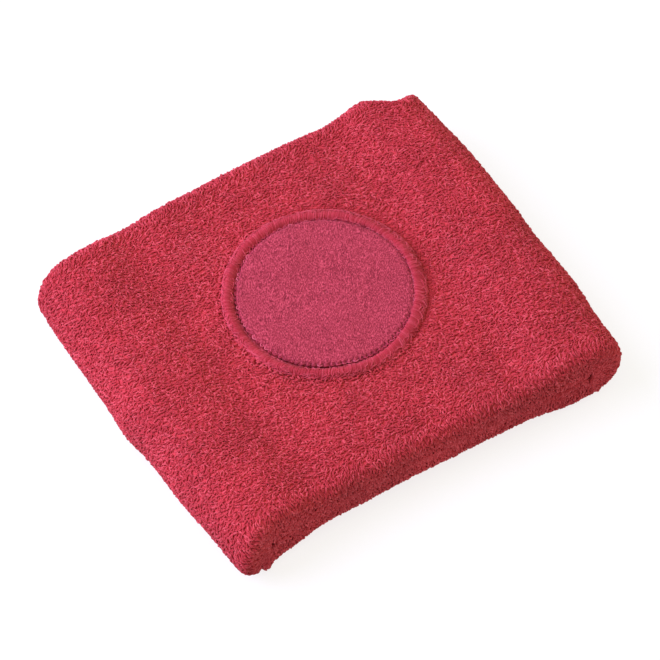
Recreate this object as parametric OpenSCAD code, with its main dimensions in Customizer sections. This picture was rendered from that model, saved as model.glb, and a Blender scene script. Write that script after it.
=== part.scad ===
// Terry sweat wristband, lying flat as it comes off the shelf.
// X runs across the flattened band, Y runs along the tube that the wrist goes through, and Z is up.
// The origin is the middle of the band's underside, on the surface that it lies on.
// The wall is one knitted tube turned in on itself: pile outside, ground knit within, elastic in the core.
// In section across Y the flattened tube is a dog bone: it bulges at both folds and dips between them.

/* [Band] */
// Width of the band lying flat, from fold to fold
band_w = 88; // [84:0.5:96]
// Length of the tube, from rim to rim
band_l = 74; // [56:0.5:100]
// Height of the bulge at each fold
fold_h = 15; // [14:0.5:16]
// Thickness of the band between the folds, both walls together
middle_h = 11; // [10.8:0.1:12]
// Length of the flat crown on each fold's bulge
crown_w = 3; // [2:0.5:3.5]

/* [Wall] */
// Thickness of one wall, all its layers together
wall_t = 5; // [4.6:0.1:5.2]
// Height of the terry loops on each face of a wall
pile_t = 1.5; // [1.2:0.1:1.5]
// Thickness of the ground knit under the loops
ground_t = 0.45; // [0.3:0.05:0.5]
// Width of the closing seam inside the band
seam_w = 2.4; // [1.5:0.1:4]
// Place of the closing seam along the tube
seam_y = 18; // [-24:1:24]

/* [Elastic] */
// Width of one covered elastic yarn
yarn_w = 0.6; // [0.3:0.1:1]
// Distance from one elastic yarn to the next
yarn_pitch = 6; // [4:0.5:12]

/* [Patch] */
// Diameter of the round print patch
patch_d = 33.5; // [25:0.5:36]
// Place of the patch's centre across the band
patch_x = 1.5; // [-2.5:0.5:2.5]
// Place of the patch's centre along the tube
patch_y = 2; // [-8:0.5:8]
// Thickness of the patch's felt
patch_t = 0.6; // [0.5:0.1:1]
// Width of the pressed-down edge of the patch, where its stitches lie
shelf_w = 1.6; // [1.4:0.1:2.5]
// Thickness of the bonding film under the patch
film_t = 0.2; // [0.1:0.05:0.4]

/* [Border] */
// Width of the raised border round the patch
border_w = 2.8; // [2:0.1:3]
// Height of the raised border
border_h = 1.5; // [1.2:0.1:2]
// Diameter of the cord inside the border
cord_d = 1; // [0.6:0.1:1.1]
// Diameter of the stitching thread
thread_d = 0.36; // [0.2:0.02:0.4]
// Number of stitches that hold the patch's edge
stitch_count = 84; // [40:2:100]

/* [Hidden] */

crimson = [0.70, 0.20, 0.26];
crimson_dark = [0.55, 0.13, 0.18];
crimson_pink = [0.76, 0.26, 0.35];
natural = [0.90, 0.86, 0.80];
film_clear = [0.85, 0.82, 0.80];

fold_steps = 6;                         // flats in each quarter turn of a fold
ramp_steps = 3;                         // and in each arc of a ramp
rim_steps = 6;                          // and in each end of a rim
fit = 0.03;                             // clearance between pieces that lie side by side
border_margin = 0.3;                    // flat middle left over outside the border

// the wall's middle surface, and the levels that follow from it
half_t = wall_t / 2;
mid_z = fold_h / 2;
fold_r = mid_z - half_t;                // radius of the middle surface round a fold
fold_x = band_w / 2 - mid_z;            // centre of a fold
crown_x = fold_x - crown_w;             // where the bulge starts to fall
wall_z = middle_h / 2 - half_t;         // middle surface of the upper wall, above mid_z
patch_r = patch_d / 2;
border_r = patch_r + border_w;
plateau_x = abs(patch_x) + border_r + border_margin;     // the flat middle carries the whole border
ramp_w = crown_x - plateau_x;
ramp_h = fold_r - wall_z;
ramp_a = 2 * atan(ramp_h / ramp_w);     // two equal arcs join the bulge to the flat middle
ramp_r = ramp_w / (2 * sin(ramp_a));
top_z = mid_z + middle_h / 2;           // upper face of the flat middle
rim_y = band_l / 2 - half_t;            // centre of the rounded rim
core_t = half_t - pile_t - ground_t;    // half the gap between the two ground layers
yarn_t = core_t * 0.5;                  // an elastic yarn lies flat in that gap
bobbin_t = core_t * 0.25;               // and the bobbin thread lies over the yarns
shelf_z = patch_t - thread_d - fit;     // the stitches stay under the patch's face

// one point of the middle surface: [x, z, normal x, normal z]
function arc_point(x, z, r, a, side) = [x + r * cos(a), z + r * sin(a), side * cos(a), side * sin(a)];

// a quarter of the dog bone, from the end of the right fold over the bulge to the flat middle
quarter = concat(
    [for (i = [0:fold_steps]) arc_point(fold_x, 0, fold_r, 90 * i / fold_steps, 1)],
    [for (i = [0:ramp_steps]) arc_point(crown_x, fold_r - ramp_r, ramp_r, 90 + ramp_a * i / ramp_steps, 1)],
    [for (i = [1:ramp_steps])
        arc_point(plateau_x, wall_z + ramp_r, ramp_r, -90 + ramp_a * (1 - i / ramp_steps), -1)]
);
last = len(quarter) - 1;
left = [for (i = [last:-1:0]) let(q = quarter[i]) [-q[0], q[1], -q[2], q[3]]];
upper = concat(quarter, left);
lower = [for (i = [len(upper) - 2:-1:1]) let(q = upper[i]) [q[0], -q[1], q[2], -q[3]]];
bone = concat(upper, lower);

// the dog bone as a flat outline, moved out by d
function outline(d) = [for (q = bone) [q[0] + d * q[2], mid_z + q[1] + d * q[3]]];

// one end of a wall layer's section, as [distance from the middle surface, y]
function rim_arc(h, y, from, to) =
    [for (i = [0:rim_steps]) let(a = from + (to - from) * i / rim_steps) [h * cos(a), y + h * sin(a)]];

// a layer that wraps a whole wall, rims included, and stops short of the seam on the inner face
function layer_section(outer, inner) = concat(
    [[-outer, seam_y + seam_w / 2]],
    rim_arc(outer, rim_y, 180, 0),
    rim_arc(outer, -rim_y, 0, -180),
    [[-outer, seam_y - seam_w / 2]],
    [[-inner, seam_y - seam_w / 2]],
    rim_arc(inner, -rim_y, -180, 0),
    rim_arc(inner, rim_y, 0, 180),
    [[-inner, seam_y + seam_w / 2]]
);

// a closed section swept once round the dog bone
module sweep(section) {
    n = len(bone);
    m = len(section);
    points = [for (q = bone, s = section) [q[0] + s[0] * q[2], s[1], mid_z + q[1] + s[0] * q[3]]];
    faces = [
        for (i = [0:n - 1], j = [0:m - 1])
            let(a = i * m + j, b = i * m + (j + 1) % m)
            let(c = ((i + 1) % n) * m + (j + 1) % m, d = ((i + 1) % n) * m + j)
            each [[a, b, c], [a, c, d]]
    ];
    polyhedron(points, faces, convexity = 8);
}

// a flat ring that follows the dog bone, from d0 to d1 off the middle surface
module bone_ring(d0, d1, width) {
    rotate([90, 0, 0])
        linear_extrude(width, center = true)
            difference() {
                polygon(outline(d1));
                polygon(outline(d0));
            }
}

// the elastic yarns of one layer
module yarn_set(d0, d1, shift) {
    reach = rim_y - yarn_w - abs(shift);
    count = floor(2 * reach / yarn_pitch);
    for (i = [0:count])
        translate([0, (i - count / 2) * yarn_pitch + shift, 0])
            bone_ring(d0, d1, yarn_w);
}

module on_patch(z) {
    translate([patch_x, patch_y, z])
        children();
}

// loops of the knitted tube, on both faces and round both rims
module terry_pile() {
    color(crimson)
        sweep(layer_section(half_t, half_t - pile_t));
}

// stretch base fabric that the loops stand on, two layers thick in each wall
module ground_knit() {
    color(crimson_dark)
        sweep(layer_section(half_t - pile_t, core_t));
}

// covered rubber yarns laid into the outer layer of the tube
module outer_elastic_yarns() {
    color(natural)
        yarn_set(fit, fit + yarn_t, yarn_pitch / 4);
}

// covered rubber yarns laid into the inner layer of the tube
module inner_elastic_yarns() {
    color(natural)
        yarn_set(-fit - yarn_t, -fit, -yarn_pitch / 4);
}

// overlocked thread that joins the tube's two cut ends, on the inner face
module closing_seam_thread() {
    w = seam_w / 2 - fit;
    bevel = 0.5;
    top = half_t;
    foot = core_t + fit;
    color(crimson_pink)
        sweep([
            [-foot, seam_y + w],
            [-top + bevel, seam_y + w],
            [-top, seam_y + w - bevel],
            [-top, seam_y - w + bevel],
            [-top + bevel, seam_y - w],
            [-foot, seam_y - w],
        ]);
}

// fusible film between the patch and the pressed-down pile
module patch_backing_film() {
    inset = 0.8;
    color(film_clear)
        on_patch(top_z)
            cylinder(h = film_t, r = patch_r - inset, $fn = 96);
}

// smooth felt disc, with its edge pressed down by the stitches
module print_patch() {
    color(crimson_pink)
        on_patch(top_z + film_t)
            rotate_extrude($fn = 96)
                polygon([
                    [0, 0],
                    [patch_r - fit, 0],
                    [patch_r - fit, shelf_z],
                    [patch_r - shelf_w, shelf_z],
                    [patch_r - shelf_w, patch_t],
                    [0, patch_t],
                ]);
}

// filler cord that the border's thread is wound over
module border_cord() {
    color(natural)
        on_patch(top_z + border_h / 2)
            rotate_extrude($fn = 96)
                translate([patch_r + border_w / 2, 0])
                    circle(d = cord_d, $fn = 32);
}

// thread wound side by side over the cord: a round ridge with a flat foot
module border_wrap() {
    color(crimson)
        on_patch(top_z)
            rotate_extrude($fn = 96)
                translate([patch_r + border_w / 2, 0])
                    difference() {
                        intersection() {
                            translate([-border_w / 2, 0])
                                square([border_w, border_h]);
                            translate([0, border_h - border_w / 2])
                                circle(d = border_w, $fn = 48);
                        }
                        translate([0, border_h / 2])
                            circle(d = cord_d, $fn = 32);
                    }
}

// short zigzag stitches along the edge of the patch
module patch_edge_stitches() {
    stitch_l = 0.9;
    slant = 25;
    color(crimson_dark)
        on_patch(top_z + film_t + shelf_z + (thread_d + fit) / 2)
            for (i = [0:stitch_count - 1])
                rotate([0, 0, 360 * i / stitch_count])
                    translate([patch_r - shelf_w / 2, 0, 0])
                        rotate([0, 90, (i % 2 == 0) ? slant : -slant])
                            cylinder(h = stitch_l, d = thread_d, center = true, $fn = 16);
}

// lower thread of the edge stitching, between the two layers of the upper wall
module bobbin_thread() {
    color(crimson_dark)
        on_patch(mid_z + wall_z + core_t - fit - bobbin_t)
            rotate_extrude($fn = 96)
                translate([patch_r - (shelf_w + thread_d) / 2, 0])
                    square([thread_d, bobbin_t]);
}

terry_pile();
ground_knit();
outer_elastic_yarns();
inner_elastic_yarns();
closing_seam_thread();
patch_backing_film();
print_patch();
border_cord();
border_wrap();
patch_edge_stitches();
bobbin_thread();
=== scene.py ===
"""Looks of the terry sweat wristband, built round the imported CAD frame.

Lengths in this file are millimetres until a mesh is made, where they become metres.
Cloth and loops are laid out on the straight band of the CAD, and settle() then gives them the soft shape
of the real one: its ends drawn in, the front left corner pulled forward, and dents along the edges.
"""
import math

import bpy
import numpy as np
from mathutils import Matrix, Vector

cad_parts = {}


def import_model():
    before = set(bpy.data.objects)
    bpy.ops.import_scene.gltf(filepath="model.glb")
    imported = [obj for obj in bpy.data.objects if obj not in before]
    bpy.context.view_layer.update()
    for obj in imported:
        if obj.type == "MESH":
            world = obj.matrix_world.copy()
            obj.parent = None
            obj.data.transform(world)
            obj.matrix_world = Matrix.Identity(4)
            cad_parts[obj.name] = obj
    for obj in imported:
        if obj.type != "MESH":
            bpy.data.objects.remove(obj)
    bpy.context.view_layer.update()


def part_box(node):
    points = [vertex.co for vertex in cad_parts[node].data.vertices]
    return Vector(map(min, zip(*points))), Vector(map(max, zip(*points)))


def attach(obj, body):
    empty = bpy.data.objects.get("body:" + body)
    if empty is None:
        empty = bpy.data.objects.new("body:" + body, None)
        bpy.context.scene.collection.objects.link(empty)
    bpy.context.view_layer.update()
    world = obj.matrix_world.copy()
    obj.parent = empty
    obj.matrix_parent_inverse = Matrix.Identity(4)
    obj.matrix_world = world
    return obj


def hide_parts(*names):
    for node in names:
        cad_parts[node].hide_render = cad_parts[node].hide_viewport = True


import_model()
rng = np.random.default_rng(11)

MM = 0.001


def node_box(name):
    """A CAD node's corners in millimetres."""
    low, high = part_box(name)
    return np.array(low) / MM, np.array(high) / MM


# ---- sizes that come from the CAD frame ----

pile_lo, pile_hi = node_box("terry_pile")
patch_lo, patch_hi = node_box("print_patch")
border_lo, border_hi = node_box("border_wrap")
seam_lo, seam_hi = node_box("closing_seam_thread")
HALF_W = (pile_hi[0] - pile_lo[0]) / 2
HALF_L = (pile_hi[1] - pile_lo[1]) / 2
FOLD_H = pile_hi[2]
TOP_Z = border_lo[2]
PATCH = (patch_lo + patch_hi)[:2] / 2
PATCH_R = (patch_hi[0] - patch_lo[0]) / 2
PATCH_TOP = patch_hi[2]
BORDER_R = (border_hi[0] - border_lo[0]) / 2
BORDER_H = border_hi[2] - border_lo[2]
SEAM_Y = (seam_lo[1] + seam_hi[1]) / 2

# ---- the wall ----

WALL = 5.0
HALF_T = WALL / 2               # from the wall's middle surface to the tips of the loops in the CAD
FOOT = 2.15                     # from the middle surface to the cloth that the loops stand on
CLOTH_BACK = 0.6                # and to the back of that cloth
CROWN = 3.0                     # flat crown of a fold's bulge
PLATEAU = abs(PATCH[0]) + BORDER_R + 0.3
MID_Z = FOLD_H / 2
RIM_Y = HALF_L - HALF_T         # where each rim starts to turn
RIM_TURN = math.pi * HALF_T     # the length of that turn along the section
FOLD_X = HALF_W - MID_Z         # centre of a fold
FOLD_R = MID_Z - HALF_T         # radius of the middle surface round it
RIM_SQUARE = 12                 # how square the rims' inner halves are, where they press each other flat
RIM_FACING = 9                  # how late the loops there turn from facing forwards to facing inwards
# the small hollow in each fold at the mouth, between the two walls
HOLLOW_OUT = 0.75               # how far out it reaches, as a share of the fold's radius
HOLLOW_IN = 1.0                 # how far in from the fold's centre
HOLLOW_H = 1.9                  # half its height
PRESS = 0.45                    # how far the two walls' loops push into each other at the mouth


def dog_bone(count=4000):
    """The wall's middle surface in section: a closed loop of even rows of x, z, normal x, normal z."""
    crown_x = FOLD_X - CROWN
    wall_z = TOP_Z - MID_Z - HALF_T
    ramp_w, ramp_h = crown_x - PLATEAU, FOLD_R - wall_z
    ramp_a = 2 * math.atan(ramp_h / ramp_w)
    ramp_r = ramp_w / (2 * math.sin(ramp_a))

    def arc(x, z, r, a0, a1, side):
        a = np.linspace(a0, a1, 60)
        return np.c_[x + r * np.cos(a), z + r * np.sin(a), side * np.cos(a), side * np.sin(a)]

    quarter = np.vstack([
        arc(FOLD_X, 0, FOLD_R, 0, math.pi / 2, 1),
        arc(crown_x, FOLD_R - ramp_r, ramp_r, math.pi / 2, math.pi / 2 + ramp_a, 1),
        arc(PLATEAU, wall_z + ramp_r, ramp_r, ramp_a - math.pi / 2, -math.pi / 2, -1),
    ])
    upper = np.vstack([quarter, quarter[::-1] * [-1, 1, -1, 1]])
    loop = np.vstack([upper, upper[::-1] * [1, -1, 1, -1]])
    step = np.hypot(*np.diff(loop[:, :2], axis=0).T)
    keep = np.r_[True, step > 1e-9]
    loop = loop[keep]
    along = np.r_[0, np.cumsum(np.hypot(*np.diff(loop[:, :2], axis=0).T))]
    at = np.linspace(0, along[-1], count, endpoint=False)
    rows = np.stack([np.interp(at, along, loop[:, k]) for k in range(4)], axis=1)
    rows[:, 2:] /= np.linalg.norm(rows[:, 2:], axis=1, keepdims=True)
    rows[:, 1] += MID_Z
    return rows


BONE = dog_bone()


def bone_at(s):
    """Rows of the dog bone at s, from 0 to 1 round it."""
    k = np.asarray(s) % 1.0 * len(BONE)
    i = np.floor(k).astype(int)
    f = (k - i)[..., None]
    return BONE[i % len(BONE)] * (1 - f) + BONE[(i + 1) % len(BONE)] * f


def even_places(d, pitch):
    """Places round the dog bone, pitch apart when measured d off its middle surface."""
    p = BONE[:, :2] + d * BONE[:, 2:]
    step = np.linalg.norm(np.roll(p, -1, axis=0) - p, axis=1)
    along = np.r_[0, np.cumsum(step)]
    count = int(round(along[-1] / pitch))
    at = (np.arange(count) + 0.5) / count * along[-1]
    return np.interp(at, along, np.arange(len(BONE) + 1) / len(BONE))


def section_at(t, h):
    """The section of the wall: a face's offset from the middle surface, its y, its facing angle and its end.

    t runs along the face from the middle of the outside, and the face stands h off the middle surface.
    """
    t = np.asarray(t, float)
    side = np.where(t < 0, -1.0, 1.0)
    past = np.abs(t) - RIM_Y
    a = np.clip(past / HALF_T, 0, math.pi)
    inner = np.clip(past - RIM_TURN, 0, None)
    turned = np.clip(a / (math.pi / 2) - 1, 0, 1)                  # past the middle of the rim
    bulge = np.where(turned > 0, (1 - turned ** RIM_SQUARE) ** (1 / RIM_SQUARE), np.sin(a))
    y = side * (np.minimum(np.abs(t), RIM_Y) + h * bulge - inner)
    facing = np.where(turned > 0, math.pi / 2 * (1 + turned ** RIM_FACING), a)
    return h * np.cos(a), y, facing, side


def swell(row, t):
    """How much further than the CAD's the inner pile stands: it closes the mouth, but for the hollows."""
    beyond = np.abs(row[..., 0]) - FOLD_X
    past = np.clip(beyond / FOLD_R, 0, 1)
    gap = np.where(past > 0, FOLD_R, np.abs(row[..., 1] - MID_Z)) - HALF_T
    round_end = 1 / np.sqrt((past / HOLLOW_OUT) ** 2 + (1 - past ** 2) / HOLLOW_H ** 2)
    tapered = HOLLOW_H * np.sqrt(np.clip(1 - (beyond / HOLLOW_IN) ** 2, 0, 1))
    inner = np.abs(t) - RIM_Y - RIM_TURN                        # how far inside the rim
    closing = np.clip((inner + 1.3) / 2.2, 0, 1)                # the hollow is a dimple: it closes there
    relaxing = np.clip((inner - 3) / 9, 0, 1)                   # and further in the tube is open
    hollow = np.where(past > 0, round_end, tapered) * (1 - 0.9 * closing)
    return np.clip(gap + PRESS - hollow, 0, None) * (1 - 0.8 * relaxing)


def skin(s, t, h):
    """Points on the wall, and the three directions there: round the band, along the section, outwards."""
    s, t = np.broadcast_arrays(s, t)
    row = bone_at(s)
    d, y, facing, side = section_at(t, h)
    d = np.where(d < 0, d * (1 + swell(row, t) / HALF_T), d)
    point = np.stack([row[..., 0] + d * row[..., 2], y, row[..., 1] + d * row[..., 3]], axis=-1)
    round_dir = np.stack([-row[..., 3], np.zeros_like(d), row[..., 2]], axis=-1)
    level = np.cos(facing)
    out = np.stack([level * row[..., 2], side * np.sin(facing), level * row[..., 3]], axis=-1)
    along = np.cross(out, round_dir)
    return point, round_dir, along, out


def waves(p, scale, seed):
    """Smooth noise of about unit size, as a sum of waves in fixed random directions."""
    r = np.random.default_rng(seed)
    total = np.zeros(p.shape[:-1])
    for _ in range(9):
        k = r.normal(size=3)
        k *= 2 * math.pi / (scale * r.uniform(0.7, 1.5) * np.linalg.norm(k))
        total += np.sin(p @ k + r.uniform(0, 2 * math.pi))
    return total / 3


def hump(x, place, width):
    """A smooth hump of height 1 at a place, which is nearly gone two widths away."""
    return np.exp(-((x - place) / width) ** 2)


# soft swellings and dents of the two folds: side, y, width and how far out
DENTS = [(-1, -0.5, 4.5, 0.55), (1, 16, 14, 0.2), (1, -6, 5, -0.3), (1, -21, 4.5, 0.4)]
# the same along the rear rim: how far out, and place and width as shares of the half width
REAR_HUMPS = [(0.4, 0.66, 0.1), (0.5, 0.72, 0.04), (-1.9, 0.87, 0.07)]


def settle(p):
    """The soft shape of the band, from its straight one."""
    x, y, z = p[..., 0], p[..., 1], p[..., 2]
    u, v = x / HALF_W, y / (HALF_L - 1)
    waist = 1.55 + 0.15 * u + 0.2 * u * np.sign(v)              # how far each fold is drawn in at the rims
    corner = np.clip(-u - 0.6, 0, 1) ** 2 * 20                  # the front left corner is pulled out furthest
    front = 0.3 + 1.1 * u + 0.65 * u * u + 0.15 * hump(u, 0.5, 0.25) + corner
    rear = 0.45 - 0.5 * u - 2.6 * u * u
    rear = rear + sum(size * hump(u, place, width) for size, place, width in REAR_HUMPS)
    rear = rear + 1.0 * np.clip((u - 0.93) / 0.07, 0, 1)        # the small peak of the rear right corner
    dents = sum(size * hump(y, place, width) * np.clip((side * x - 34) / 8, 0, 1) * side
                for side, place, width, size in DENTS)
    lift = 0.16 * waves(p, 16, 5)
    tuck = hump(x, -38.9, 0.5) - 0.8 * hump(x, -37.5, 1.0)      # a tuck low down at the front left corner
    tuck = tuck * np.clip((-y - 34) / 2, 0, 1) * np.clip(1 - z / 7, 0, 1)
    return np.stack([
        x * (1 - waist * v * v / HALF_W) + 0.12 * waves(p, 14, 6) + dents,
        y + np.where(v < 0, -front, rear) * v * v - np.sign(v) * v * v + tuck,
        z + lift * np.clip(z / 3, 0, 1),
    ], axis=-1)


# ---- meshes ----

def make_piece(name, points, faces, material, slot, **attributes):
    """A mesh object from points in millimetres, riding on the root body."""
    mesh = bpy.data.meshes.new(name)
    faces = np.asarray(faces, np.int32)
    mesh.vertices.add(len(points))
    mesh.vertices.foreach_set("co", (np.asarray(points) * MM).astype(np.float32).ravel())
    mesh.loops.add(faces.size)
    mesh.loops.foreach_set("vertex_index", faces.ravel())
    mesh.polygons.add(len(faces))
    mesh.polygons.foreach_set("loop_start", np.arange(0, faces.size, faces.shape[1], dtype=np.int32))
    mesh.update(calc_edges=True)
    mesh.validate()
    mesh.shade_smooth()
    for key, values in attributes.items():
        mesh.attributes.new(key, "FLOAT", "POINT").data.foreach_set("value", np.asarray(values, np.float32))
    piece = bpy.data.objects.new(name, mesh)
    bpy.context.scene.collection.objects.link(piece)
    mesh.materials.append(material)
    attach(piece, "root")
    return piece


def grid_faces(rows, columns, close_rows=False, close_columns=False):
    """Quads of a grid of points, rows by columns."""
    i = np.arange(rows if close_rows else rows - 1)[:, None]
    j = np.arange(columns if close_columns else columns - 1)[None, :]
    i2, j2 = (i + 1) % rows, (j + 1) % columns
    corners = [i * columns + j, i * columns + j2, i2 * columns + j2, i2 * columns + j]
    return np.stack(corners, axis=-1).reshape(-1, 4)


def tubes(paths, side, radius, sides=5, closed=False):
    """Round strands along paths (strand, point, 3). side is a unit vector across each strand's plane."""
    n, k, _ = paths.shape
    if closed:
        ahead, behind = np.roll(paths, -1, axis=1), np.roll(paths, 1, axis=1)
    else:
        ahead = np.concatenate([paths[:, 1:], 2 * paths[:, -1:] - paths[:, -2:-1]], axis=1)
        behind = np.concatenate([2 * paths[:, :1] - paths[:, 1:2], paths[:, :-1]], axis=1)
    tangent = ahead - behind
    tangent /= np.linalg.norm(tangent, axis=-1, keepdims=True)
    side = np.broadcast_to(side, paths.shape)
    side = side - tangent * (side * tangent).sum(-1, keepdims=True)
    side = side / np.linalg.norm(side, axis=-1, keepdims=True)
    third = np.cross(side, tangent)
    a = np.arange(sides) * 2 * math.pi / sides
    r = np.broadcast_to(radius, (n, k))[..., None, None]
    ring = side[:, :, None] * np.cos(a)[:, None] + third[:, :, None] * np.sin(a)[:, None]
    points = paths[:, :, None] + r * ring
    faces = grid_faces(k, sides, close_rows=closed, close_columns=True)
    faces = (faces[None] + (np.arange(n) * k * sides)[:, None, None]).reshape(-1, 4)
    return points.reshape(-1, 3), faces


# ---- materials ----

def new_material(name):
    m = bpy.data.materials.new(name)
    m.use_nodes = True
    tree = m.node_tree
    return m, tree, tree.nodes["Principled BSDF"]


def link_noise(tree, scale, detail=3.0, rough=0.6, coords=None):
    """A noise texture on the piece's own coordinates, in metres times scale."""
    if coords is None:
        coords = tree.nodes.new("ShaderNodeTexCoord").outputs["Object"]
    noise = tree.nodes.new("ShaderNodeTexNoise")
    noise.inputs["Scale"].default_value = scale
    noise.inputs["Detail"].default_value = detail
    noise.inputs["Roughness"].default_value = rough
    tree.links.new(coords, noise.inputs["Vector"])
    return noise.outputs["Fac"]


def ramp(tree, value, stops):
    """A colour ramp over a value: stops are (place, colour)."""
    node = tree.nodes.new("ShaderNodeValToRGB")
    elements = node.color_ramp.elements
    while len(elements) < len(stops):
        elements.new(0.5)
    for element, (place, colour) in zip(elements, stops):
        element.position = place
        element.color = (*colour, 1)
    tree.links.new(value, node.inputs["Fac"])
    return node.outputs["Color"]


def mix(tree, factor, a, b, blend="MIX"):
    """A blend of two colours: each input is a socket, a colour or, for the factor, a number."""
    node = tree.nodes.new("ShaderNodeMix")
    node.data_type = "RGBA"
    node.blend_type = blend
    for socket, value in (("Factor", factor), ("A", a), ("B", b)):
        target = [s for s in node.inputs if s.name == socket and s.type in ("VALUE", "RGBA")]
        target = target[0] if socket == "Factor" else [s for s in target if s.type == "RGBA"][0]
        if hasattr(value, "is_linked") or hasattr(value, "links"):
            tree.links.new(value, target)
        else:
            target.default_value = value if isinstance(value, float) else (*value, 1)
    return [s for s in node.outputs if s.type == "RGBA"][0]


def add_bump(tree, shader, height, distance):
    bump = tree.nodes.new("ShaderNodeBump")
    bump.inputs["Distance"].default_value = distance
    bump.inputs["Strength"].default_value = 1.0
    tree.links.new(height, bump.inputs["Height"])
    tree.links.new(bump.outputs["Normal"], shader.inputs["Normal"])


def attribute(tree, name):
    node = tree.nodes.new("ShaderNodeAttribute")
    node.attribute_name = name
    return node.outputs["Fac"]


def cloth_finish(shader, rough, sheen, tint):
    shader.inputs["Roughness"].default_value = rough
    shader.inputs["Specular IOR Level"].default_value = 0.12
    shader.inputs["Sheen Weight"].default_value = sheen
    shader.inputs["Sheen Roughness"].default_value = 0.5
    shader.inputs["Sheen Tint"].default_value = (*tint, 1)


def yarn_material(name, dark, mid, light, sheen=0.08, fibre=0.00005):
    """Cotton yarn: a tone for each loop, fibres along it, and a soft fuzz."""
    m, tree, shader = new_material(name)
    colour = ramp(tree, attribute(tree, "tone"), [(0.0, dark), (0.5, mid), (1.0, light)])
    blotch = ramp(tree, link_noise(tree, 90, 2), [(0.3, (0.86, 0.86, 0.86)), (0.7, (1.06, 1.06, 1.06))])
    colour = mix(tree, 1.0, colour, blotch, "MULTIPLY")
    tree.links.new(colour, shader.inputs["Base Color"])
    cloth_finish(shader, 0.8, sheen, (1.0, 0.72, 0.8))
    add_bump(tree, shader, link_noise(tree, 5200, 2, 0.7), fibre)
    return m


def plain_cloth(name, dark, light, scale, bump, rough=0.85, sheen=0.2):
    m, tree, shader = new_material(name)
    fac = link_noise(tree, scale, 4, 0.65)
    tree.links.new(ramp(tree, fac, [(0.35, dark), (0.65, light)]), shader.inputs["Base Color"])
    cloth_finish(shader, rough, sheen, (1.0, 0.75, 0.8))
    add_bump(tree, shader, fac, bump)
    return m


RIB_ANGLE = -33                 # the direction of the felt's fine ribs, in degrees
# painted shade: the dark colour mixed into the needle holes stands in for the shade inside them
NEEDLE_HOLE_PAINTED_SHADE = (0.10, 0.006, 0.02)


def felt_material():
    """Fine brushed knit of the patch: close ribs, broken up, with soft mottling and painted shade in the
    needle holes.
    """
    m, tree, shader = new_material("patch_felt")
    coords = tree.nodes.new("ShaderNodeTexCoord").outputs["Object"]
    turn = tree.nodes.new("ShaderNodeMapping")
    turn.vector_type = "TEXTURE"
    turn.inputs["Rotation"].default_value = (0, 0, math.radians(RIB_ANGLE))
    turn.inputs["Scale"].default_value = (1.0, 2.4, 1.0)
    tree.links.new(coords, turn.inputs["Vector"])
    ribs = link_noise(tree, 5600, 3, 0.75, turn.outputs["Vector"])
    mottle = link_noise(tree, 330, 3, 0.6)
    fine = ramp(tree, ribs, [(0.36, (0.145, 0.009, 0.021)),
                             (0.5, (0.365, 0.0335, 0.057)),
                             (0.64, (0.67, 0.091, 0.144))])
    soft = ramp(tree, mottle, [(0.3, (0.92, 0.91, 0.91)), (0.7, (1.05, 1.06, 1.06))])
    colour = mix(tree, 1.0, fine, soft, "MULTIPLY")
    # painted shade in the needle holes, darkest where the stitches pull tightest
    hole = attribute(tree, "hole")
    tree.links.new(mix(tree, hole, colour, NEEDLE_HOLE_PAINTED_SHADE), shader.inputs["Base Color"])
    cloth_finish(shader, 0.8, 0.1, (1.0, 0.7, 0.85))
    add_bump(tree, shader, ribs, 0.00012)
    return m


TERRY = yarn_material("terry_yarn", (0.395, 0.0245, 0.0345), (0.48, 0.0375, 0.0505), (0.63, 0.077, 0.099))
GROUND = plain_cloth("ground_knit_cloth", (0.47, 0.036, 0.048), (0.58, 0.051, 0.065), 1500, 0.0001,
                     sheen=0.05)
FELT = felt_material()
BORDER = yarn_material("border_yarn", (0.38, 0.022, 0.037), (0.46, 0.034, 0.054), (0.60, 0.074, 0.108),
                       sheen=0.12, fibre=0.00003)
STITCH = yarn_material("stitch_yarn", (0.25, 0.012, 0.03), (0.42, 0.03, 0.06), (0.66, 0.12, 0.18),
                       sheen=0.15, fibre=0.00002)
ELASTIC = plain_cloth("elastic_cover", (0.66, 0.60, 0.52), (0.82, 0.78, 0.70), 2500, 0.00005)
CORD = plain_cloth("cord_cotton", (0.62, 0.56, 0.48), (0.80, 0.74, 0.66), 3000, 0.00008)
FILM = plain_cloth("bonding_film", (0.60, 0.55, 0.52), (0.75, 0.70, 0.68), 900, 0.00002, 0.4, 0.0)


# ---- the knitted tube ----

def ground_cloth():
    """The ground knit: one thick sheet wrapped round the wall, its cut ends meeting at the seam."""
    seam_gap = 0.6
    far = 2 * RIM_Y + RIM_TURN
    start, end = -(far + SEAM_Y - seam_gap), far - SEAM_Y - seam_gap
    rim_ends = [side * t for side in (-1, 1) for t in (RIM_Y, RIM_Y + RIM_TURN)]
    stops = sorted([start, *rim_ends, end])
    pitches = (1.2, 0.33, 1.2, 0.33, 1.2)
    t = np.concatenate([np.arange(a, b, pitch) for a, b, pitch in zip(stops, stops[1:], pitches)] + [[end]])
    s = even_places(HALF_T, 0.7)
    outside = skin(s[:, None], t[None, :], FOOT)[0]
    inside = skin(s[:, None], t[None, ::-1], CLOTH_BACK)[0]
    wrap = np.concatenate([outside, inside], axis=1)
    faces = grid_faces(len(s), wrap.shape[1], close_rows=True, close_columns=True)
    piece = make_piece("ground_cloth", settle(wrap).reshape(-1, 3), faces[:, ::-1], GROUND, "ground")
    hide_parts("ground_knit")
    return piece


LOOP_ROOT = 0.3                 # how far each loop's feet go down into the cloth
LOOP_POINTS = 6


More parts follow.
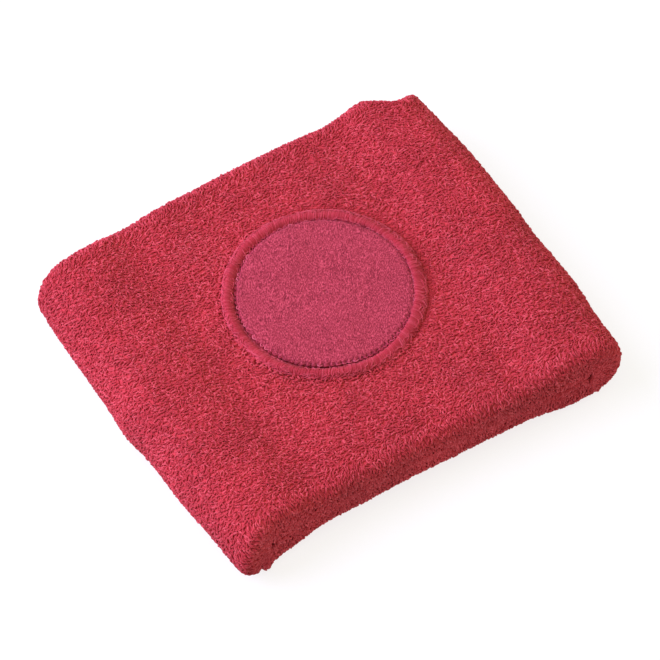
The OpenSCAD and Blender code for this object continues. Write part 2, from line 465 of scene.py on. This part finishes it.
def arches(s, t, turn, span, rise, lean, skew, thick):
    """Terry loops: arches of yarn on the cloth at (s, t), turned, leaning over and pulled askew."""
    base, round_dir, along, out = skin(s, t, FOOT)
    direction = round_dir * np.cos(turn)[:, None] + along * np.sin(turn)[:, None]
    across = np.cross(out, direction)
    up = out * np.cos(lean)[:, None] + across * np.sin(lean)[:, None]
    side = np.cross(direction, up)
    a = np.linspace(0, math.pi, LOOP_POINTS)
    forward = -np.cos(a)[None] * span[:, None] / 2 + np.sin(a)[None] ** 2 * skew[:, None]
    height = np.sin(a)[None] ** 0.8 * (rise[:, None] + LOOP_ROOT) - LOOP_ROOT
    path = base[:, None] + direction[:, None] * forward[..., None] + up[:, None] * height[..., None]
    r = thick[:, None] * (0.82 + 0.18 * np.sin(a)[None])
    return tubes(path, side[:, None], r)


def scatter(places, reach0, reach1, pitch, jitter=0.42):
    """Loop feet over a stretch of the section, from reach0 to reach1, jittered off an even layout."""
    t = np.arange(reach0 + pitch / 2, reach1, pitch)
    gap = np.median(np.diff(places))
    s, t = np.meshgrid(places, t, indexing="ij")
    s = s + (np.arange(t.shape[1]) % 2)[None] * gap / 2
    s = s + rng.uniform(-jitter, jitter, s.shape) * gap
    t = t + rng.uniform(-jitter, jitter, t.shape) * pitch
    return s.ravel(), t.ravel()


LIE_ANGLE = -33                 # the direction that most loops lie in, in degrees
PITCH_ROUND, PITCH_ALONG = 0.56, 0.5                # between loops, round the band and along its section
OUTER_END = 8                   # how far past RIM_Y these go, which is to the end of the rim's turn
EXTRA_FIELDS = ((OUTER_END - 4, OUTER_END, 0.7), (OUTER_END, 16, 0.85))       # more: from, to and pitch
# each loop's measures, as mean, spread, least and most
SPAN = (0.84, 0.18, 0.45, 1.4)
RISE = (0.25, 0.07, 0.08, 0.45)
LEAN = (0, 0.6, -1.1, 1.1)
SKEW = (0, 0.22, -0.5, 0.5)
YARN_R = (0.178, 0.02, 0.13, 0.22)
TONE = (0.44, 0.12, 0, 1)
LIGHT_SHARE, LIGHT_TONE = 0.2, 0.9                  # some loops are lighter than the rest
STRIP_AT = math.radians(15)     # the middle of the strip beside the border where the loops are pressed flat and darkened with painted shade
STRIP_W = 1.5                   # and its greatest width
PULLED_AT, PULLED_R = (4.2, 22.0), 2.4              # where a few loops are pulled loose beside the border


def draw(n, mean, spread, least, most):
    return rng.normal(mean, spread, n).clip(least, most)


def loop_field():
    """Every terry loop's foot and lie: the outside and both rims, then the first stretch of the inside."""
    outer_end = RIM_Y + OUTER_END
    fields = [scatter(even_places(HALF_T - 0.3, PITCH_ROUND), -outer_end, outer_end, PITCH_ALONG)]
    for start, end, pitch in EXTRA_FIELDS:
        for side in (-1, 1):
            reach = sorted((side * (RIM_Y + start), side * (RIM_Y + end)))
            fields.append(scatter(even_places(0, pitch), *reach, pitch))
    s = np.concatenate([field[0] for field in fields])
    t = np.concatenate([field[1] for field in fields])
    base, _, _, out = skin(s, t, HALF_T)
    top = (out[:, 2] > 0.9) & (base[:, 2] > MID_Z)
    off = np.hypot(base[:, 0] - PATCH[0], base[:, 1] - PATCH[1])
    strip = np.cos(np.arctan2(base[:, 1] - PATCH[1], base[:, 0] - PATCH[0]) - STRIP_AT)
    # there are no loops under the border
    keep = ~(top & (off < BORDER_R - 0.7 + 0.4 * np.clip(strip, 0, 1)))
    s, t, base, off, top, strip = s[keep], t[keep], base[keep], off[keep], top[keep], strip[keep]
    n = len(s)
    # over the flat faces the loops lie mostly one way; towards the rims they comb over the edge
    rim = np.clip((np.abs(t) - RIM_Y + 4) / 5, 0, 1)
    mean = math.radians(LIE_ANGLE) * (1 - rim) + math.radians(90) * rim
    turn = mean + rng.normal(0, 1, n) * (0.75 - 0.3 * rim)
    span = draw(n, *SPAN) * (1 + 0.2 * rim)
    rise = draw(n, *RISE) * (1 + 0.1 * rim)
    lean = draw(n, *LEAN)
    skew = draw(n, *SKEW)
    thick = draw(n, *YARN_R)
    tone = np.where(rng.uniform(size=n) < LIGHT_SHARE, LIGHT_TONE, draw(n, *TONE))
    # round most of the border the loops crowd up against it, and on the strip they lie flat, with painted
    # shade darkening their tone
    near = top & (off < BORDER_R + 0.5) & (strip < 0.2)
    rise = np.where(near, rise + 0.3, rise)
    pressed_and_painted_shade = top & (strip > 0.2) & (off < BORDER_R + STRIP_W * strip)
    rise = np.where(pressed_and_painted_shade, 0.06 + 0.2 * rise, rise)
    # painted shade: the loops on the strip get a much darker tone, which stands in for the shadow beside the
    # border's ridge
    tone = np.where(pressed_and_painted_shade, 0.12 * tone, tone)
    loose = near & (np.hypot(base[:, 0] - PULLED_AT[0], base[:, 1] - PULLED_AT[1]) < PULLED_R)
    loose = loose & (rng.uniform(size=n) < 0.3)
    rise = np.where(loose, rise + 0.8, rise)
    span = np.where(loose, span + 0.7, span)
    return dict(s=s, t=t, turn=turn, span=span, rise=rise, lean=lean, skew=skew, thick=thick), tone, base


RIM_PART = 4                    # each rim's own piece goes this far past RIM_Y
MIDDLE_X = 18.0                 # the underside is cut once more here, to keep each mesh small


def quarters(rear, right):
    """Two words for each quarter of the band, and which loops stand in it."""
    for row, wants_rear in (("front", False), ("rear", True)):
        for column, wants_right in (("left", False), ("right", True)):
            yield row, column, (rear == wants_rear) & (right == wants_right)


def region_of(base, t):
    """A name for the part of the band that each loop stands on."""
    name = np.full(len(t), "", dtype=object)
    right = base[:, 0] > 0
    for row, column, here in quarters(t > 0, right):
        name[here] = f"inside_{row}_{column}"
    seen = np.abs(t) < RIM_Y + RIM_PART
    rim = seen & (np.abs(t) > RIM_Y)
    name[rim & (t < 0)] = "rim_front"
    name[rim & (t > 0)] = "rim_rear"
    face = seen & ~rim
    fold = np.abs(base[:, 0]) > FOLD_X
    upper = base[:, 2] > MID_Z
    for row, column, here in quarters(base[:, 1] > 0, right):
        here = here & face
        name[here & fold] = f"fold_{column}_{row}"
        name[here & ~fold & upper] = f"top_{row}_{column}"
        under = here & ~fold & ~upper
        name[under] = f"under_{row}_{column}"
        name[under & (np.abs(base[:, 0]) < MIDDLE_X)] = f"under_{row}_middle_{column}"
    return name


def terry_loops():
    """The terry, one piece for each region, so that no mesh is too large."""
    shape, tone, base = loop_field()
    names = region_of(base, shape["t"])
    pieces = []
    for region in sorted(set(names)):
        pick = names == region
        points, faces = arches(**{key: value[pick] for key, value in shape.items()})
        each = len(points) // pick.sum()
        pieces.append(make_piece(f"terry_loops_{region}", settle(points), faces, TERRY, "terry",
                                 tone=np.repeat(tone[pick], each)))
    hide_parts("terry_pile")
    return pieces


# ---- the patch and its border ----

def on_patch(r, a, z):
    return np.stack([PATCH[0] + r * np.cos(a), PATCH[1] + r * np.sin(a), z], axis=-1)


STITCHES = 96
HOLE_R = PATCH_R - 0.42         # circle of the needle holes
PULL_AT = -1.69                 # the angle at which the stitches bite deepest and the needle holes' painted shade is darkest, at the front


def turn_between(a, b):
    """The angle from b to a, the short way round."""
    return (a - b + math.pi) % (2 * math.pi) - math.pi


def stitch_angles():
    a = np.arange(STITCHES) * 2 * math.pi / STITCHES - math.pi
    return a + np.random.default_rng(3).normal(0, 0.008, STITCHES)


def stitch_pull(a):
    """How tight the edge stitches are at an angle round the patch, up to 1; this also sets how dark the
    painted shade in the needle holes is.
    """
    return 0.12 + 0.88 * hump(turn_between(a, PULL_AT), 0, 0.8)


def patch_disc():
    """The felt disc: a little domed, its edge eased over and nibbled by the stitches."""
    columns = 768
    a = np.arange(columns) * 2 * math.pi / columns
    eased = PATCH_R - np.array([0.22, 0.08, 0.0])
    r = np.r_[np.linspace(0.02, PATCH_R - 1.6, 22), np.linspace(PATCH_R - 1.5, PATCH_R - 0.45, 13), eased]
    top = np.r_[np.zeros(35), -0.1, -0.24, -0.5]
    rr, aa = np.meshgrid(r, a, indexing="ij")
    edge = np.clip((rr - PATCH_R + 1.2) / 1.2, 0, 1)
    wobble = 0.07 * np.sin(aa * STITCHES) + 0.06 * np.sin(aa * 31 + 1) + 0.05 * np.sin(aa * 7)
    rr = rr + edge * wobble
    z = PATCH_TOP + top[:, None] + 0.25 * (1 - (rr / PATCH_R) ** 2) - 0.04 * edge ** 2
    # the needle holes' dents; their depth is also the strength of the painted shade in the felt's colour
    hole = np.zeros_like(rr)
    for angle in stitch_angles():
        away = np.hypot(turn_between(aa, angle) * rr, rr - HOLE_R)
        hole = np.maximum(hole, hump(away, 0, 0.26) * stitch_pull(angle))
    z = z - 0.5 * hole
    points = on_patch(rr, aa, z)
    under = on_patch(rr[::-1], aa[::-1], np.full_like(rr, PATCH_TOP - 0.6))
    points = np.concatenate([points, under])
    hole = np.concatenate([hole, np.zeros_like(hole)])
    faces = grid_faces(len(points), columns, close_rows=True, close_columns=True)
    piece = make_piece("patch_disc", settle(points).reshape(-1, 3), faces[:, ::-1], FELT, "felt",
                       hole=hole.ravel())
    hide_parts("print_patch")
    return piece


BORDER_OUT = math.radians(147)      # where the border's crest lies furthest out from the patch
BORDER_LOW = BORDER_OUT + 0.8       # where it is a little lower
BORDER_MID = (PATCH_R + BORDER_R) / 2 + 0.05
BORDER_HALF = (BORDER_R - PATCH_R) / 2 - 0.05
BORDER_FOOT = TOP_Z - 0.5
BORDER_TURNS = 470
BORDER_FIBRES = 900


def ridge(a, f, lift):
    """Points on the border's ridge: f runs from 0 at the inner foot over the crest to pi at the outer."""
    out = np.cos(a - BORDER_OUT)
    uneven = 0.12 * np.sin(3 * a + 1) + 0.07 * np.sin(7 * a + 2) + 0.05 * np.sin(17 * a)
    low = 0.25 * hump(turn_between(a, BORDER_LOW), 0, 0.45)
    shift = np.where(out > 0, 0.45, 0.7) * out
    r = BORDER_MID + (shift - 0.1 + 0.8 * uneven) * np.sin(f) ** 2 - np.cos(f) * (BORDER_HALF + lift)
    # opposite, the inner flank stands up close to the patch
    close = 0.4 * np.clip(0.2 - out, 0, 1) * np.clip(np.cos(f), 0, 1) ** 2
    height = BORDER_H + 0.15 + uneven - low + lift
    return on_patch(r, a, BORDER_FOOT + close + np.clip(np.sin(f), 0, 1) ** 1.2 * height)


def border_ring():
    """The border: fine thread wound side by side over a padded ridge."""
    rr = np.random.default_rng(4)
    # the winding
    count = BORDER_TURNS
    a0 = np.arange(count) * 2 * math.pi / count + rr.normal(0, 0.002, count)
    start, end = rr.uniform(0.02, 0.22, count), math.pi * rr.uniform(0.72, 0.93, count)
    f = start[:, None] + (end - start)[:, None] * np.linspace(0, 1, 11)[None]
    slant = (rr.normal(0, 0.006, count) + 0.008)[:, None] * np.cos(f)
    path = ridge(a0[:, None] + slant, f, rr.normal(-0.19, 0.03, (count, 1)))
    side = np.stack([-np.sin(a0), np.cos(a0), np.zeros(count)], axis=-1)
    points, faces = tubes(path, side[:, None], rr.normal(0.135, 0.012, (count, 1)), sides=6)
    tone = np.repeat(rr.normal(0.55, 0.16, count).clip(0, 1), len(points) // count)
    # short loose fibres along both feet
    count = BORDER_FIBRES
    fa, ff = rr.uniform(0, 2 * math.pi, count), rr.choice([0.32, 2.45], count) + rr.normal(0, 0.22, count)
    length, bend = rr.normal(0.026, 0.007, (count, 1)), rr.normal(0, 0.25, (count, 1))
    along = np.linspace(-1, 1, 5)[None]
    fibre_path = ridge(fa[:, None] + along * length, ff[:, None] + along * bend, 0.02 - 0.12 * along ** 2)
    fibre_points, fibre_faces = tubes(fibre_path, np.array([0.0, 0.0, 1.0]), 0.11, sides=5)
    faces = np.concatenate([faces, fibre_faces + len(points)])
    tone = np.r_[tone, np.repeat(rr.uniform(0.5, 1.0, count), len(fibre_points) // count)]
    points = np.concatenate([points, fibre_points])
    # the padded ridge under them, closed below
    turns, around, sunk = 720, 28, 0.16
    a, g = np.meshgrid(np.arange(turns) * 2 * math.pi / turns, np.arange(around) * 2 * math.pi / around,
                       indexing="ij")
    body = ridge(a, np.clip(g, 0, math.pi), -sunk)
    back = np.where(g > math.pi, (np.cos(math.pi) - np.cos(g)) * (BORDER_HALF - sunk), 0)
    body[..., 2] -= np.where(g > math.pi, 0.3 * np.sin(g - math.pi), 0)
    body[..., 0] += back * np.cos(a)
    body[..., 1] += back * np.sin(a)
    body += 0.035 * waves(body, 0.9, 12)[..., None]
    body_faces = grid_faces(turns, around, True, True) + len(points)
    points = np.concatenate([points, body.reshape(-1, 3)])
    tone = np.concatenate([tone, np.full(turns * around, 0.3)])
    piece = make_piece("border_ring", settle(points), np.concatenate([faces, body_faces]), BORDER,
                       "border_thread", tone=tone)
    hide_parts("border_wrap")
    return piece


def edge_stitches():
    """Zigzag thread that holds the patch's edge, from each needle hole over the edge and back."""
    a = stitch_angles()
    nxt = np.r_[a[1:], a[0] + 2 * math.pi]
    f = np.linspace(0, 1, 9)
    angle = a[:, None] + (nxt - a)[:, None] * f[None]
    swing = np.sin(f * math.pi)[None]
    r = HOLE_R + swing * 0.6
    z = PATCH_TOP - 0.45 + (0.2 + 0.42 * stitch_pull(angle)) * np.sin(f * math.pi)[None] ** 0.5
    path = on_patch(r + 0 * angle, angle, z + 0 * angle)
    points, faces = tubes(path, np.array([0.0, 0.0, 1.0]), 0.11, sides=6)
    tone = np.repeat(np.random.default_rng(8).uniform(0, 1, len(a)), len(points) // len(a))
    piece = make_piece("edge_stitching", settle(points), faces, STITCH, "stitch_thread", tone=tone)
    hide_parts("patch_edge_stitches")
    return piece


# ---- inside the wall ----

def seam_ring():
    """Overlocked thread over the joint on the inner face: one long zigzag round the band."""
    turns = 150
    f = np.linspace(0, 1, turns * 8, endpoint=False)
    far = 2 * RIM_Y + RIM_TURN
    t = far - SEAM_Y + 0.9 * np.sin(f * turns * 2 * math.pi)
    path = skin(f, t, FOOT + 0.25 + 0.12 * np.cos(f * turns * 4 * math.pi))[0][None]
    points, faces = tubes(path, np.array([0.0, 1.0, 0.001]), 0.2, closed=True)
    piece = make_piece("seam_overlock", settle(points), faces, BORDER, "seam_thread",
                       tone=np.full(len(points), 0.4))
    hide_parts("closing_seam_thread")
    return piece


ELASTIC_PITCH = 6.0             # between the elastic yarns, as in the CAD
ELASTIC_R = 0.14


def elastic_rings(name, node):
    """Covered elastic yarns in the wall's core, at the places of the CAD's."""
    low, high = node_box(node)
    count = int(round((high[1] - low[1]) / ELASTIC_PITCH)) + 1
    d = (high[0] - low[0]) / 2 - (HALF_W - HALF_T) - ELASTIC_R
    row = bone_at(even_places(0, 1.1))
    x, z = row[:, 0] + d * row[:, 2], row[:, 1] + d * row[:, 3]
    paths = [np.stack([x, np.full(len(x), y), z], axis=-1)
             for y in np.linspace(low[1] + 0.3, high[1] - 0.3, count)]
    points, faces = tubes(np.array(paths), np.array([0.0, 1.0, 0.0]), ELASTIC_R, sides=6, closed=True)
    piece = make_piece(name, settle(points), faces, ELASTIC, "elastic")
    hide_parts(node)
    return piece


def lathe(name, profile, node, material, slot, columns=192, drift=0.0):
    """A ring or disc round the patch's centre from its closed profile (r, z), laid into the soft shape."""
    a = np.arange(columns) * 2 * math.pi / columns
    r, z = np.array(profile).T
    points = on_patch(r[:, None] + drift * np.cos(a - BORDER_OUT), a + 0 * r[:, None], z[:, None] + 0 * a)
    faces = grid_faces(len(r), columns, close_rows=True, close_columns=True)
    piece = make_piece(name, settle(points).reshape(-1, 3), faces[:, ::-1], material, slot)
    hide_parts(node)
    return piece


def bonding_film():
    low, high = node_box("patch_backing_film")
    r = np.linspace(0.02, (high[0] - low[0]) / 2, 14)
    top, bottom = np.full(14, high[2]), np.full(14, low[2])
    profile = np.r_[np.c_[r, top], np.c_[r[::-1], bottom]]
    return lathe("bonding_film", profile, "patch_backing_film", FILM, "film")


def filler_cord():
    low, high = node_box("border_cord")
    radius = (high[2] - low[2]) / 2
    a = np.arange(16) * 2 * math.pi / 16
    centre = (high[0] - low[0]) / 2 - radius
    squeezed = 0.6 * radius             # the winding pulls the cord down and squeezes it
    profile = np.c_[centre + squeezed * np.cos(a), low[2] - 0.45 + squeezed - squeezed * np.sin(a)]
    return lathe("filler_cord", profile, "border_cord", CORD, "filler_cord", 384, drift=0.3)


def lower_thread():
    low, high = node_box("bobbin_thread")
    a = np.arange(8) * 2 * math.pi / 8
    centre = (high[0] - low[0]) / 2 - 0.18
    half = (high[2] - low[2]) / 2
    profile = np.c_[centre + 0.15 * np.cos(a), (low[2] + high[2]) / 2 - half * np.sin(a)]
    return lathe("lower_thread", profile, "bobbin_thread", STITCH, "stitch_thread", 384)


# ---- stage ----

def aim(obj, place, target):
    obj.location = place
    direction = np.array(target) - np.array(place)
    obj.rotation_euler = Vector(direction).to_track_quat("-Z", "Y").to_euler()


def direction_from(azimuth, elevation):
    a, e = math.radians(azimuth), math.radians(elevation)
    return np.array([math.sin(a) * math.cos(e), -math.cos(a) * math.cos(e), math.sin(e)])


# the photo's view, solved from the band's four edges and the patch
CAMERA_AT = -32.8, 56.0, 1.614              # azimuth, elevation and distance in metres
CAMERA_LENS = 469.4


def camera():
    azimuth, elevation, distance = CAMERA_AT
    data = bpy.data.cameras.new("camera")
    data.lens = CAMERA_LENS
    data.clip_end = 20
    cam = bpy.data.objects.new("camera", data)
    bpy.context.scene.collection.objects.link(cam)
    back = direction_from(azimuth, elevation)
    right = np.array([math.cos(math.radians(azimuth)), math.sin(math.radians(azimuth)), 0])
    up = np.cross(back, right)
    target = np.array([0, 0, 0.005]) + right * 0.00113 - up * 0.0002
    aim(cam, target + back * distance, target)
    bpy.context.scene.camera = cam


def area_light(name, azimuth, elevation, distance, size, power, colour):
    data = bpy.data.lights.new(name, "AREA")
    data.shape = "DISK"
    data.size = size
    data.energy = power
    data.color = colour
    light = bpy.data.objects.new(name, data)
    bpy.context.scene.collection.objects.link(light)
    aim(light, direction_from(azimuth, elevation) * distance, (0, 0, 0.01))


def floor():
    m, tree, shader = new_material("floor_white")
    tone = ramp(tree, link_noise(tree, 3, 2), [(0.3, (0.20, 0.20, 0.20)), (0.7, (0.22, 0.22, 0.22))])
    tree.links.new(tone, shader.inputs["Base Color"])
    shader.inputs["Emission Color"].default_value = (1, 1, 1, 1)
    shader.inputs["Emission Strength"].default_value = 0.8
    shader.inputs["Roughness"].default_value = 0.9
    shader.inputs["Specular IOR Level"].default_value = 0.1
    half = 10
    mesh = bpy.data.meshes.new("floor")
    corners = [(-half, -half, 0), (half, -half, 0), (half, half, 0), (-half, half, 0)]
    mesh.from_pydata(corners, [], [(0, 1, 2, 3)])
    mesh.materials.append(m)
    obj = bpy.data.objects.new("floor", mesh)
    bpy.context.scene.collection.objects.link(obj)
    obj.location.z = -0.0002


def world():
    w = bpy.data.worlds.new("studio")
    bpy.context.scene.world = w
    w.use_nodes = True
    background = w.node_tree.nodes["Background"]
    background.inputs["Color"].default_value = (1.0, 0.98, 0.82, 1)
    background.inputs["Strength"].default_value = 0.32


camera()
world()
floor()
area_light("key_left", -125, 38, 0.9, 1.0, 12.2, (1.0, 0.93, 1.5))
area_light("top", -50, 80, 1.2, 1.0, 3.7, (1.0, 0.96, 0.78))
area_light("fill_right", 75, 35, 1.0, 1.2, 3.2, (1.0, 0.86, 0.55))
bpy.context.scene.view_settings.view_transform = "Standard"

cloth = ground_cloth()
loops = terry_loops()
disc = patch_disc()
ring = border_ring()
stitches = edge_stitches()
seam = seam_ring()
elastic_rings("outer_elastic_rings", "outer_elastic_yarns")
elastic_rings("inner_elastic_rings", "inner_elastic_yarns")
bonding_film()
filler_cord()
lower_thread()
